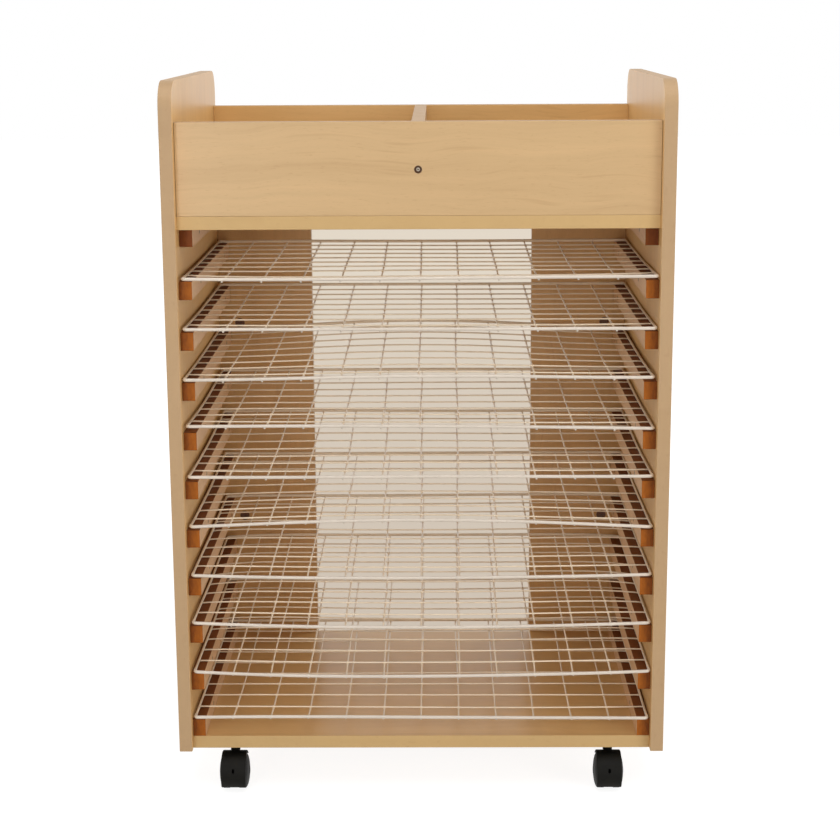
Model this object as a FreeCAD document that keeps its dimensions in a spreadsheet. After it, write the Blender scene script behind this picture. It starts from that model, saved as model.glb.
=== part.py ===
import FreeCAD, Part
import math
import os
import Sketcher

V = FreeCAD.Vector
doc = FreeCAD.newDocument("art_drying_rack")

# ------------------------------------------------------------------ sizes (millimetres, degrees)
sheet = doc.addObject("Spreadsheet::Sheet", "dims")
SIZES = [
    ("total_w", 680), ("total_d", 490), ("side_h", 930),
    ("board", 18), ("corner", 35), ("soft", 0.8),
    ("inset", 14), ("rear_inset", 4), ("rim_drop", 54), ("tray_wall", 124),
    ("back_w", 148),
    # shelf runners
    ("runner_t", 18), ("runner_h", 25), ("keeper_inset", 34), ("runner_short", 4),
    ("screw_front", 110), ("screw_end", 90),
    ("screw_d", 3.4), ("screw_len", 28), ("screw_head_d", 6.4), ("screw_sink", 1.9),
    ("hole_gap", 0.1),
    # wire shelves
    ("shelf_side", 2.6), ("shelf_rear", 27), ("shelf_front", 6), ("rest_gap", 0.3),
    ("frame_d", 4.2), ("rod_d", 2.5), ("cross_d", 2.2), ("weld", 0.4), ("bend", 5),
    ("rod_end", 1.5),
    # cam fittings in the back boards
    ("cam_d", 15), ("cam_t", 12.5), ("cam_in", 32), ("cam_low", 217), ("cam_top", 199.5),
    ("cam_slot_w", 1.2), ("cam_slot_t", 1.6),
    # tray front screw
    ("tray_screw_drop", 1), ("tray_recess_d", 10.6), ("tray_recess_t", 5.5),
    ("tray_head_d", 5.8), ("tray_head_t", 3), ("tray_shank_d", 4), ("tray_shank_t", 46),
    ("tray_socket", 1.1),
    # casters
    ("stem_in", 56), ("stem_y", 43.5), ("axle_off", 14),
    ("plate_s", 38), ("plate_t", 2.5), ("plate_edge", 5.5),
    ("collar_d", 13), ("collar_t", 6), ("pin_d", 7), ("pin_gap", 0.05),
    ("wheel_r", 25), ("wheel_out", 21.4), ("wheel_side", 0.6), ("cap_d", 13.8), ("dome_h", 6.2),
    ("axle_d", 5), ("axle_gap", 0.05), ("axle_fit", 0.01), ("axle_cover", 3.8),
    ("hood_rise", 6), ("hood_gap", 0.5), ("pin_len", 18),
    ("hood_space", 3.4), ("tread_gap", 1.2), ("band_in", 3.8), ("band_cut", 1.7), ("band_round", 1.6),
    ("hub_d", 18), ("eye_w", 3.6), ("eye_rise", 1.5),
    ("core_w", 11), ("boss_d", 13.4), ("boss_t", 5.2),
    ("cscrew_d", 3.6), ("cscrew_len", 14), ("chead_d", 7.4), ("chead_t", 2),
]
DERIVED = [
    ("inner_w", "=total_w - 2 * board"),
    ("half_in", "=total_w / 2 - board"),
    ("half_d", "=total_d / 2"),
    ("hood_r", "=wheel_r + hood_space"),
    ("band_r", "=wheel_r + tread_gap"),
    ("band_half", "=wheel_out - band_in"),
    ("hood_top", "=2 * wheel_r + hood_rise"),
    ("foot_h", "=2 * wheel_r + hood_rise + hood_gap + collar_t + plate_t"),
    ("stem_x", "=total_w / 2 - board - stem_in"),
    ("plate_hole", "=plate_s / 2 - plate_edge"),
    ("wheel_in", "=core_w / 2 + wheel_side"),
    ("axle_len", "=2 * (wheel_out - axle_cover)"),
    ("screw_rear", "=total_d - screw_end"),
    ("shelf_w", "=total_w - 2 * board - 2 * shelf_side"),
    ("shelf_d", "=total_d - rear_inset - board - shelf_front - shelf_rear"),
    ("tray_screw_z", "=tray_wall / 2 - tray_screw_drop"),
    ("panel_d", "=total_d - inset - rear_inset - board"),
    ("back_y", "=total_d / 2 - rear_inset - board"),
    ("rim_z", "=foot_h + side_h - rim_drop"),
    ("floor_top", "=foot_h + side_h - rim_drop - tray_wall"),
    ("floor_bot", "=floor_top - board"),
    ("base_top", "=foot_h + board"),
    ("pitch", "=(floor_bot - runner_h - base_top) / 10"),
    ("divider_d", "=panel_d - board"),
    ("tray_back_h", "=tray_wall + board"),
    ("back_h", "=floor_bot - foot_h"),
    ("cam_high", "=back_h - cam_top"),
    ("runner_len", "=panel_d - runner_short"),
    ("keeper_len", "=panel_d - runner_short - keeper_inset + inset"),
    ("rod_z", "=0 - (frame_d + rod_d) / 2 + weld"),
    ("cross_z", "=0 - (frame_d + rod_d) / 2 + weld + (rod_d + cross_d) / 2 - weld / 2"),
    ("cell_x", "=(shelf_w - frame_d) / 12"),
    ("cell_y", "=(shelf_d - frame_d) / 9"),
]
row = 1
for alias, value in SIZES + DERIVED:
    sheet.set("A%d" % row, alias)
    sheet.set("B%d" % row, str(value))
    sheet.setAlias("B%d" % row, alias)
    row += 1
doc.recompute()


def val(name):
    return float(sheet.get(name))


def place(obj, x="0", y="0", z="0"):
    obj.setExpression("Placement.Base.x", x)
    obj.setExpression("Placement.Base.y", y)
    obj.setExpression("Placement.Base.z", z)


# ------------------------------------------------------------------ sketch helpers
def origin_plane(body, role):
    for feat in body.Origin.OriginFeatures:
        if feat.Role == role:
            return feat
    raise RuntimeError("no plane " + role)


def new_body(name):
    body = doc.addObject("PartDesign::Body", name)
    return body


def new_sketch(body, name, role, lift=None):
    sk = body.newObject("Sketcher::SketchObject", name)
    sk.AttachmentSupport = [(origin_plane(body, role), "")]
    sk.MapMode = "FlatFace"
    if lift is not None:
        sk.setExpression("AttachmentOffset.Base.z", lift)
    return sk


def rectangle(sk, w, h, we, he):
    pts = [V(0, 0, 0), V(w, 0, 0), V(w, h, 0), V(0, h, 0)]
    for i in range(4):
        sk.addGeometry(Part.LineSegment(pts[i], pts[(i + 1) % 4]), False)
    for i in range(4):
        sk.addConstraint(Sketcher.Constraint("Coincident", i, 2, (i + 1) % 4, 1))
    sk.addConstraint(Sketcher.Constraint("Horizontal", 0))
    sk.addConstraint(Sketcher.Constraint("Horizontal", 2))
    sk.addConstraint(Sketcher.Constraint("Vertical", 1))
    sk.addConstraint(Sketcher.Constraint("Vertical", 3))
    sk.addConstraint(Sketcher.Constraint("Coincident", 0, 1, -1, 1))
    c = sk.addConstraint(Sketcher.Constraint("DistanceX", 0, 1, 0, 2, w))
    sk.setExpression("Constraints[%d]" % c, we)
    c = sk.addConstraint(Sketcher.Constraint("DistanceY", 1, 1, 1, 2, h))
    sk.setExpression("Constraints[%d]" % c, he)


def circles(sk, spots, radius, radius_expr):
    """spots: (x, y, x expression, y expression), all positive in the sketch."""
    first = None
    for x, y, xe, ye in spots:
        g = sk.addGeometry(Part.Circle(V(x, y, 0), V(0, 0, 1), radius), False)
        if first is None:
            first = g
            c = sk.addConstraint(Sketcher.Constraint("Radius", g, radius))
            sk.setExpression("Constraints[%d]" % c, radius_expr)
        else:
            sk.addConstraint(Sketcher.Constraint("Equal", first, g))
        c = sk.addConstraint(Sketcher.Constraint("DistanceX", -1, 1, g, 3, x))
        sk.setExpression("Constraints[%d]" % c, xe)
        c = sk.addConstraint(Sketcher.Constraint("DistanceY", -1, 1, g, 3, y))
        sk.setExpression("Constraints[%d]" % c, ye)


def pad(body, sk, length_expr, name):
    feat = body.newObject("PartDesign::Pad", name)
    feat.Profile = sk
    feat.setExpression("Length", length_expr)
    sk.Visibility = False
    body.Tip = feat
    return feat


def soften(body, feat, name):
    doc.recompute()
    fil = body.newObject("PartDesign::Fillet", name)
    fil.Base = (feat, ["Edge%d" % (i + 1) for i in range(len(feat.Shape.Edges))])
    fil.setExpression("Radius", "dims.soft")
    body.Tip = fil
    return fil


def pocket(body, sk, depth_expr, name):
    """Cuts from the sketch plane into the material, whichever side that is."""
    doc.recompute()
    before = body.Shape.Volume
    feat = body.newObject("PartDesign::Pocket", name)
    feat.Profile = sk
    feat.setExpression("Length", depth_expr)
    sk.Visibility = False
    body.Tip = feat
    doc.recompute()
    if feat.Shape.isNull() or abs(feat.Shape.Volume - before) < 0.5:
        feat.Reversed = True
        doc.recompute()
    if abs(body.Shape.Volume - before) < 0.5:
        raise RuntimeError("pocket cut nothing: " + name)
    return feat


def board(name, w, d, h, x, y, z, label=None):
    """A plain board: w along X, d along Y, h along Z, least corner at x, y, z."""
    body = new_body(name)
    sk = new_sketch(body, name + "_outline", "XY_Plane")
    rectangle(sk, val(w), val(d), "dims." + w, "dims." + d)
    p = pad(body, sk, "dims." + h, name + "_pad")
    soften(body, p, name + "_soft")
    place(body, x, y, z)
    body.Label = label or name
    return body


NODES = []


def node(obj, name):
    obj.Label = name
    NODES.append((name, obj))


def compound(name, parts):
    comp = doc.addObject("Part::Compound", name)
    comp.Links = parts
    return comp


LEFT = "-dims.half_in"
FRONT = "-dims.half_d"
LEVELS = 10

# ------------------------------------------------------------------ side panels


def side_panel(name, mirrored):
    body = new_body(name)
    sk = new_sketch(body, name + "_outline", "YZ_Plane")
    d, h, r = val("total_d"), val("side_h"), val("corner")
    q = 0.70710678
    sk.addGeometry(Part.LineSegment(V(0, 0, 0), V(d, 0, 0)), False)
    sk.addGeometry(Part.LineSegment(V(d, 0, 0), V(d, h - r, 0)), False)
    mid = V(d - r + r * q, h - r + r * q, 0)
    sk.addGeometry(Part.Arc(V(d, h - r, 0), mid, V(d - r, h, 0)), False)
    sk.addGeometry(Part.LineSegment(V(d - r, h, 0), V(r, h, 0)), False)
    mid = V(r - r * q, h - r + r * q, 0)
    sk.addGeometry(Part.Arc(V(r, h, 0), mid, V(0, h - r, 0)), False)
    sk.addGeometry(Part.LineSegment(V(0, h - r, 0), V(0, 0, 0)), False)
    con = Sketcher.Constraint
    sk.addConstraint(con("Coincident", 0, 1, -1, 1))
    sk.addConstraint(con("Coincident", 0, 2, 1, 1))
    sk.addConstraint(con("Tangent", 1, 2, 2, 1))
    sk.addConstraint(con("Tangent", 2, 2, 3, 1))
    sk.addConstraint(con("Tangent", 3, 2, 4, 1))
    sk.addConstraint(con("Tangent", 4, 2, 5, 1))
    sk.addConstraint(con("Coincident", 5, 2, 0, 1))
    sk.addConstraint(con("Horizontal", 0))
    sk.addConstraint(con("Vertical", 1))
    sk.addConstraint(con("Horizontal", 3))
    sk.addConstraint(con("Vertical", 5))
    c = sk.addConstraint(con("DistanceX", 0, 1, 0, 2, d))
    sk.setExpression("Constraints[%d]" % c, "dims.total_d")
    c = sk.addConstraint(con("Radius", 2, r))
    sk.setExpression("Constraints[%d]" % c, "dims.corner")
    sk.addConstraint(con("Equal", 2, 4))
    c = sk.addConstraint(con("DistanceY", 0, 1, 3, 2, h))
    sk.setExpression("Constraints[%d]" % c, "dims.side_h")
    p = pad(body, sk, "dims.board", name + "_pad")
    soften(body, p, name + "_soft")
    # pilot holes for the runner screws, from the inner face
    lift = "0" if mirrored else "dims.board"
    hs = new_sketch(body, name + "_pilots", "YZ_Plane", lift)
    spots = []
    for k in range(LEVELS + 1):
        z = val("board") + k * val("pitch") + val("runner_h") / 2
        ze = "dims.board + %d * dims.pitch + dims.runner_h / 2" % k
        for along in ("screw_front", "screw_rear"):
            spots.append((val(along), z, "dims." + along, ze))
    circles(hs, spots, val("screw_d") / 2 + 0.1, "dims.screw_d / 2 + dims.hole_gap")
    pocket(body, hs, "dims.screw_len - dims.runner_t + 1", name + "_pilot_cut")
    x = "dims.half_in" if mirrored else "-dims.total_w / 2"
    place(body, x, FRONT, "dims.foot_h")
    return body


node(side_panel("left_side", False), "left_side_panel")
node(side_panel("right_side", True), "right_side_panel")

# ------------------------------------------------------------------ base board
base = board("base", "inner_w", "panel_d", "board", LEFT, FRONT + " + dims.inset", "dims.foot_h")
sk = new_sketch(base, "base_pilots", "XY_Plane")
spots = []
for sx in (-1, 1):
    for rear in (False, True):
        cx = val("half_in") + sx * val("stem_x")
        cxe = "dims.half_in %s dims.stem_x" % ("+" if sx > 0 else "-")
        if rear:
            cy = val("total_d") - val("stem_y") - val("inset")
            cye = "dims.total_d - dims.stem_y - dims.inset"
        else:
            cy = val("stem_y") - val("inset")
            cye = "dims.stem_y - dims.inset"
        for dx in (-1, 1):
            for dy in (-1, 1):
                h = val("plate_hole")
                dxe = "%s dims.plate_hole" % ("+" if dx > 0 else "-")
                dye = "%s dims.plate_hole" % ("+" if dy > 0 else "-")
                spots.append((cx + dx * h, cy + dy * h, cxe + " " + dxe, cye + " " + dye))
circles(sk, spots, val("cscrew_d") / 2 + 0.1, "dims.cscrew_d / 2 + dims.hole_gap")
pocket(base, sk, "dims.cscrew_len - dims.plate_t + 1", "base_pilot_cut")
node(base, "base_board")

# ------------------------------------------------------------------ tray
floor = board("floor", "inner_w", "panel_d", "board", LEFT, FRONT + " + dims.inset", "dims.floor_bot")
node(floor, "tray_floor")

front = board("front", "inner_w", "board", "tray_wall", LEFT, FRONT + " + dims.inset", "dims.floor_top")
sk = new_sketch(front, "front_recess", "XZ_Plane")
mid = (val("half_in"), val("tray_screw_z"), "dims.half_in", "dims.tray_screw_z")
circles(sk, [mid], val("tray_recess_d") / 2, "dims.tray_recess_d / 2")
pocket(front, sk, "dims.tray_recess_t", "front_recess_cut")
sk = new_sketch(front, "front_bore", "XZ_Plane")
circles(sk, [mid], val("tray_shank_d") / 2 + 0.1, "dims.tray_shank_d / 2 + dims.hole_gap")
pocket(front, sk, "dims.board", "front_bore_cut")
node(front, "tray_front_panel")

tback = board("tback", "inner_w", "board", "tray_back_h", LEFT, "dims.back_y", "dims.floor_bot")
node(tback, "tray_back_panel")

div = board("divider", "board", "divider_d", "tray_wall", "-dims.board / 2",
            FRONT + " + dims.inset + dims.board", "dims.floor_top")
sk = new_sketch(div, "divider_bore", "XZ_Plane")
mid = (val("board") / 2, val("tray_screw_z"), "dims.board / 2", "dims.tray_screw_z")
circles(sk, [mid], val("tray_shank_d") / 2 + 0.1, "dims.tray_shank_d / 2 + dims.hole_gap")
pocket(div, sk, "dims.tray_recess_t + dims.tray_shank_t - dims.board + 1", "divider_bore_cut")
node(div, "tray_divider")

# ------------------------------------------------------------------ back boards
for name, left in (("left_back", True), ("right_back", False)):
    x = LEFT if left else "dims.half_in - dims.back_w"
    b = board(name, "back_w", "board", "back_h", x, "dims.back_y", "dims.foot_h")
    sk = new_sketch(b, name + "_cams", "XZ_Plane")
    cx = val("cam_in") if left else val("back_w") - val("cam_in")
    cxe = "dims.cam_in" if left else "dims.back_w - dims.cam_in"
    spots = [(cx, val("cam_low"), cxe, "dims.cam_low"), (cx, val("cam_high"), cxe, "dims.cam_high")]
    circles(sk, spots, val("cam_d") / 2 + 0.1, "dims.cam_d / 2 + dims.hole_gap")
    pocket(b, sk, "dims.cam_t + dims.hole_gap", name + "_cam_cut")
    node(b, name + "_board")

# ------------------------------------------------------------------ shelf runners


def runner(name, length, y):
    body = new_body(name)
    sk = new_sketch(body, name + "_outline", "XY_Plane")
    rectangle(sk, val("runner_t"), val(length), "dims.runner_t", "dims." + length)
    p = pad(body, sk, "dims.runner_h", name + "_pad")
    soften(body, p, name + "_soft")
    # screw holes through the strip, countersunk on its inner face
    hs = new_sketch(body, name + "_holes", "YZ_Plane", "dims.runner_t")
    ys = "dims.%s - (" + y + " + dims.half_d)"
    spots = []
    for along in ("screw_front", "screw_rear"):
        off = val("inset") if name == "runner" else val("keeper_inset")
        spots.append((val(along) - off, val("runner_h") / 2, ys % along, "dims.runner_h / 2"))
    circles(hs, spots, val("screw_d") / 2 + 0.1, "dims.screw_d / 2 + dims.hole_gap")
    pocket(body, hs, "dims.runner_t", name + "_hole_cut")
    cs = new_sketch(body, name + "_sinks", "YZ_Plane", "dims.runner_t")
    circles(cs, spots, val("screw_head_d") / 2 + 0.1, "dims.screw_head_d / 2 + dims.hole_gap")
    pocket(body, cs, "dims.screw_sink + dims.hole_gap", name + "_sink_cut")
    place(body, LEFT, y, "0")
    return body


def mirror_x(name, source):
    m = doc.addObject("Part::Mirroring", name)
    m.Source = source
    m.Normal = V(1, 0, 0)
    m.Base = V(0, 0, 0)
    return m


run_l = runner("runner", "runner_len", FRONT + " + dims.inset")
run_r = mirror_x("runner_right", run_l)
keep_l = runner("keeper", "keeper_len", FRONT + " + dims.keeper_inset")
keep_r = mirror_x("keeper_right", keep_l)

for k in range(LEVELS + 1):
    # level 10 rests on the base board, level 0 is the keeper under the tray floor
    pair = [keep_l, keep_r] if k == 0 else [run_l, run_r]
    comp = compound("runners_%02d" % k, pair)
    place(comp, "0", "0", "dims.base_top + %d * dims.pitch" % (LEVELS - k))
    node(comp, "runner_pair_%02d" % k)

# ------------------------------------------------------------------ turned pieces


def turned(name, points, exprs, axis="Z"):
    """A solid of revolution about its own Z axis; points are (radius, height)."""
    body = new_body(name)
    sk = new_sketch(body, name + "_profile", "XZ_Plane")
    n = len(points)
    for i in range(n):
        a, b = points[i], points[(i + 1) % n]
        sk.addGeometry(Part.LineSegment(V(a[0], a[1], 0), V(b[0], b[1], 0)), False)
    for i in range(n):
        sk.addConstraint(Sketcher.Constraint("Coincident", i, 2, (i + 1) % n, 1))
    for i in range(n):
        rx, rz = exprs[i]
        if rx is None:
            sk.addConstraint(Sketcher.Constraint("PointOnObject", i, 1, -2))
        else:
            c = sk.addConstraint(Sketcher.Constraint("DistanceX", -1, 1, i, 1, points[i][0]))
            sk.setExpression("Constraints[%d]" % c, rx)
        if rz is None:
            sk.addConstraint(Sketcher.Constraint("PointOnObject", i, 1, -1))
        else:
            c = sk.addConstraint(Sketcher.Constraint("DistanceY", -1, 1, i, 1, points[i][1]))
            sk.setExpression("Constraints[%d]" % c, rz)
    rev = body.newObject("PartDesign::Revolution", name + "_turn")
    rev.Profile = sk
    rev.ReferenceAxis = (sk, ["V_Axis"])
    rev.Angle = 360
    sk.Visibility = False
    body.Tip = rev
    return body


def put(name, source, x, y, z, axis=None, angle=0):
    """A copy of a solid turned by angle about axis, then moved by expressions."""
    comp = compound(name, [source])
    if axis is not None:
        comp.Placement = FreeCAD.Placement(V(0, 0, 0), FreeCAD.Rotation(axis, angle))
    place(comp, x, y, z)
    return comp


# countersunk runner screw: head face at height 0, shank down to -screw_len
hd, sd, sl, sn = val("screw_head_d"), val("screw_d"), val("screw_len"), val("screw_sink")
scr = turned("runner_screw",
             [(0, 0), (hd / 2, 0), (hd / 2, -0.3), (sd / 2, -sn), (sd / 2, -sl + 3), (0, -sl)],
             [(None, None), ("dims.screw_head_d / 2", None),
              ("dims.screw_head_d / 2", "-0.3"),
              ("dims.screw_d / 2", "-dims.screw_sink"),
              ("dims.screw_d / 2", "-dims.screw_len + 3"),
              (None, "-dims.screw_len")])
scr_l = []
for along in ("screw_front", "screw_rear"):
    p = put("rs_" + along, scr, LEFT + " + dims.runner_t", FRONT + " + dims." + along,
            "dims.runner_h / 2", V(0, 1, 0), 90)
    scr_l.append(p)
quad = compound("screw_pair_left", scr_l)
quad_r = mirror_x("screw_pair_right", quad)
layers = []
for k in range(LEVELS + 1):
    c = compound("screws_%02d" % k, [quad, quad_r])
    place(c, "0", "0", "dims.base_top + %d * dims.pitch" % k)
    layers.append(c)
node(compound("all_runner_screws", layers), "runner_screws")

# cam fitting: a round housing with a cross slot in its face
cam_body = new_body("cam")
sk = new_sketch(cam_body, "cam_outline", "XZ_Plane")
g = sk.addGeometry(Part.Circle(V(0, 0, 0), V(0, 0, 1), 7.5), False)
sk.addConstraint(Sketcher.Constraint("Coincident", g, 3, -1, 1))
c = sk.addConstraint(Sketcher.Constraint("Radius", g, 7.5))
sk.setExpression("Constraints[%d]" % c, "dims.cam_d / 2")
p = pad(cam_body, sk, "dims.cam_t", "cam_pad")
p.Reversed = True
doc.recompute()
for nm, w, h in (("slot_a", "cam_d / 1.9", "cam_slot_w"), ("slot_b", "cam_slot_w", "cam_d / 1.9")):
    sk = new_sketch(cam_body, nm, "XZ_Plane")
    hw = 7.5 / 1.9 if nm == "slot_a" else 0.6
    hh = 0.6 if nm == "slot_a" else 7.5 / 1.9
    pts = [V(-hw, -hh, 0), V(hw, -hh, 0), V(hw, hh, 0), V(-hw, hh, 0)]
    for i in range(4):
        sk.addGeometry(Part.LineSegment(pts[i], pts[(i + 1) % 4]), False)
    for i in range(4):
        sk.addConstraint(Sketcher.Constraint("Coincident", i, 2, (i + 1) % 4, 1))
    for i in (0, 2):
        sk.addConstraint(Sketcher.Constraint("Horizontal", i))
        sk.addConstraint(Sketcher.Constraint("Vertical", i + 1))
    sk.addConstraint(Sketcher.Constraint("Symmetric", 0, 1, 1, 2, -1, 1))
    c = sk.addConstraint(Sketcher.Constraint("DistanceX", 0, 1, 0, 2, 2 * hw))
    sk.setExpression("Constraints[%d]" % c, "dims." + w)
    c = sk.addConstraint(Sketcher.Constraint("DistanceY", 1, 1, 1, 2, 2 * hh))
    sk.setExpression("Constraints[%d]" % c, "dims." + h)
    pocket(cam_body, sk, "dims.cam_slot_t", nm + "_cut")
cams = []
for sx in (-1, 1):
    for zz in ("cam_low", "cam_high"):
        x = "-dims.half_in + dims.cam_in" if sx < 0 else "dims.half_in - dims.cam_in"
        z = "dims.foot_h + dims." + zz
        cams.append(put("cam_%d_%s" % (sx + 1, zz), cam_body, x, "dims.back_y", z))
node(compound("all_cams", cams), "cam_fittings")

# tray front screw: head in its recess, shank into the end of the divider
hr, ht = val("tray_head_d") / 2, val("tray_head_t")
sr, st, so = val("tray_shank_d") / 2, val("tray_shank_t"), val("tray_socket")
tsc = turned("tray_screw_solid",
             [(0, -1.6), (so, -1.6), (so, 0), (hr - 0.6, 0), (hr, -0.6), (hr, -ht), (sr, -ht),
              (sr, -ht - st + 4), (0, -ht - st)],
             [(None, "-1.6"), ("dims.tray_socket", "-1.6"), ("dims.tray_socket", None),
              ("dims.tray_head_d / 2 - 0.6", None), ("dims.tray_head_d / 2", "-0.6"),
              ("dims.tray_head_d / 2", "-dims.tray_head_t"),
              ("dims.tray_shank_d / 2", "-dims.tray_head_t"),
              ("dims.tray_shank_d / 2", "-dims.tray_head_t - dims.tray_shank_t + 4"),
              (None, "-dims.tray_head_t - dims.tray_shank_t")])
ts = put("tray_screw", tsc, "0", FRONT + " + dims.inset + dims.tray_recess_t - dims.tray_head_t",
         "dims.floor_top + dims.tray_screw_z", V(1, 0, 0), 90)
node(ts, "tray_front_screw")

# ------------------------------------------------------------------ wire shelf


def rod(name, dia, length, x, y, z, along):
    cyl = doc.addObject("Part::Cylinder", name)
    cyl.setExpression("Radius", "dims.%s / 2" % dia)
    cyl.setExpression("Height", length)
    turn = {"x": FreeCAD.Rotation(V(0, 1, 0), 90), "y": FreeCAD.Rotation(V(1, 0, 0), -90)}[along]
    cyl.Placement = FreeCAD.Placement(V(0, 0, 0), turn)
    place(cyl, x, y, z)
    return cyl


pieces = []
W2 = "(dims.shelf_w - dims.frame_d) / 2"
D1 = "(dims.shelf_d - dims.frame_d)"
ACROSS = "2 * (%s - dims.bend)" % W2
START = "-%s + dims.bend" % W2
DEEP = "%s - 2 * dims.bend" % D1
pieces.append(rod("frame_front", "frame_d", ACROSS, START, "0", "0", "x"))
pieces.append(rod("frame_back", "frame_d", ACROSS, START, D1, "0", "x"))
pieces.append(rod("frame_left", "frame_d", DEEP, "-" + W2, "dims.bend", "0", "y"))
pieces.append(rod("frame_right", "frame_d", DEEP, W2, "dims.bend", "0", "y"))
for i, (sx, back, turn) in enumerate(((-1, False, 180), (1, False, 270), (1, True, 0), (-1, True, 90))):
    tor = doc.addObject("Part::Torus", "bend_%d" % i)
    tor.setExpression("Radius1", "dims.bend")
    tor.setExpression("Radius2", "dims.frame_d / 2")
    tor.Angle3 = 90
    tor.Placement = FreeCAD.Placement(V(0, 0, 0), FreeCAD.Rotation(V(0, 0, 1), turn))
    x = "%s - dims.bend" % W2 if sx > 0 else "-%s + dims.bend" % W2
    y = "%s - dims.bend" % D1 if back else "dims.bend"
    place(tor, x, y, "0")
    pieces.append(tor)
for i in range(1, 12):
    x = "-%s + %d * dims.cell_x" % (W2, i)
    length = D1 + " + 2 * dims.rod_end"
    pieces.append(rod("rod_%02d" % i, "rod_d", length, x, "-dims.rod_end", "dims.rod_z", "y"))
for i in range(1, 9):
    y = "%d * dims.cell_y" % i
    pieces.append(rod("cross_%d" % i, "cross_d", "2 * " + W2, "-" + W2, y, "dims.cross_z", "x"))
mesh = doc.addObject("Part::MultiFuse", "shelf_grid")
mesh.Shapes = pieces
mesh.Refine = False
doc.recompute()
for k in range(1, LEVELS + 1):
    z = "dims.base_top + %d * dims.pitch" % (LEVELS - k)
    z += " + dims.runner_h + dims.frame_d / 2 + dims.rest_gap"
    s = put("shelf_%02d" % k, mesh, "0", FRONT + " + dims.shelf_front + dims.frame_d / 2", z)
    node(s, "wire_shelf_%02d" % k)

# ------------------------------------------------------------------ casters
# built round the stem axis, with the floor at height 0
# mounting plate with its collar and pin; the plate's top face is at foot_h
plate = new_body("plate")
sk = new_sketch(plate, "plate_outline", "XY_Plane", "dims.foot_h - dims.plate_t")
s2 = val("plate_s") / 2
pts = [V(-s2, -s2, 0), V(s2, -s2, 0), V(s2, s2, 0), V(-s2, s2, 0)]
for i in range(4):
    sk.addGeometry(Part.LineSegment(pts[i], pts[(i + 1) % 4]), False)
for i in range(4):
    sk.addConstraint(Sketcher.Constraint("Coincident", i, 2, (i + 1) % 4, 1))
for i in (0, 2):
    sk.addConstraint(Sketcher.Constraint("Horizontal", i))
    sk.addConstraint(Sketcher.Constraint("Vertical", i + 1))
sk.addConstraint(Sketcher.Constraint("Symmetric", 0, 1, 1, 2, -1, 1))
c = sk.addConstraint(Sketcher.Constraint("DistanceX", 0, 1, 0, 2, 2 * s2))
sk.setExpression("Constraints[%d]" % c, "dims.plate_s")
c = sk.addConstraint(Sketcher.Constraint("DistanceY", 1, 1, 1, 2, 2 * s2))
sk.setExpression("Constraints[%d]" % c, "dims.plate_s")
pad(plate, sk, "dims.plate_t", "plate_pad")
doc.recompute()


def disc(body, name, dia_expr, dia, lift, length, up=False):
    sk = new_sketch(body, name, "XY_Plane", lift)
    g = sk.addGeometry(Part.Circle(V(0, 0, 0), V(0, 0, 1), dia / 2), False)
    sk.addConstraint(Sketcher.Constraint("Coincident", g, 3, -1, 1))
    c = sk.addConstraint(Sketcher.Constraint("Radius", g, dia / 2))
    sk.setExpression("Constraints[%d]" % c, dia_expr)
    p = pad(body, sk, length, name + "_pad")
    p.Reversed = not up
    doc.recompute()
    return p


disc(plate, "collar", "dims.collar_d / 2", val("collar_d"), "dims.foot_h - dims.plate_t",
     "dims.foot_h - dims.plate_t - dims.hood_top - dims.hood_gap")
disc(plate, "pin", "dims.pin_d / 2", val("pin_d"), "dims.hood_top + dims.hood_gap",
     "dims.pin_len + dims.hood_gap")
hs = new_sketch(plate, "plate_holes", "XY_Plane", "dims.foot_h")
h = val("plate_hole")
first = None
for i, (dx, dy) in enumerate(((-1, -1), (1, -1), (1, 1), (-1, 1))):
    g = hs.addGeometry(Part.Circle(V(dx * h, dy * h, 0), V(0, 0, 1), 2.0), False)
    if first is None:
        first = g
        c = hs.addConstraint(Sketcher.Constraint("Radius", g, 2.0))
        hs.setExpression("Constraints[%d]" % c, "dims.cscrew_d / 2 + dims.hole_gap * 2")
    else:
        hs.addConstraint(Sketcher.Constraint("Equal", first, g))
    c = hs.addConstraint(Sketcher.Constraint("DistanceX", -1, 1, g, 3, dx * h))
    hs.setExpression("Constraints[%d]" % c, "%d * dims.plate_hole" % dx)
    c = hs.addConstraint(Sketcher.Constraint("DistanceY", -1, 1, g, 3, dy * h))
    hs.setExpression("Constraints[%d]" % c, "%d * dims.plate_hole" % dy)
pocket(plate, hs, "dims.plate_t", "plate_hole_cut")

# hood: a band over the treads of both wheels, round the front and the top; the wheels' domed
# sides stay bare. Turned about the axle: x forward of it, y up, z across
ri, ro, bh = val("band_r"), val("hood_r"), val("band_half")
band = turned("hood_band", [(ri, -bh), (ro, -bh), (ro, bh), (ri, bh)],
              [("dims.band_r", "-dims.band_half"), ("dims.hood_r", "-dims.band_half"),
               ("dims.hood_r", "dims.band_half"), ("dims.band_r", "dims.band_half")])
doc.recompute()
shoulders = []
for i, edge in enumerate(band.Shape.Edges):
    if hasattr(edge.Curve, "Radius") and abs(edge.Curve.Radius - ro) < 0.001:
        shoulders.append("Edge%d" % (i + 1))
ring = band.Tip
fil = band.newObject("PartDesign::Fillet", "hood_band_round")
fil.Base = (ring, shoulders)
fil.setExpression("Radius", "dims.band_round")
band.Tip = fil
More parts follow.
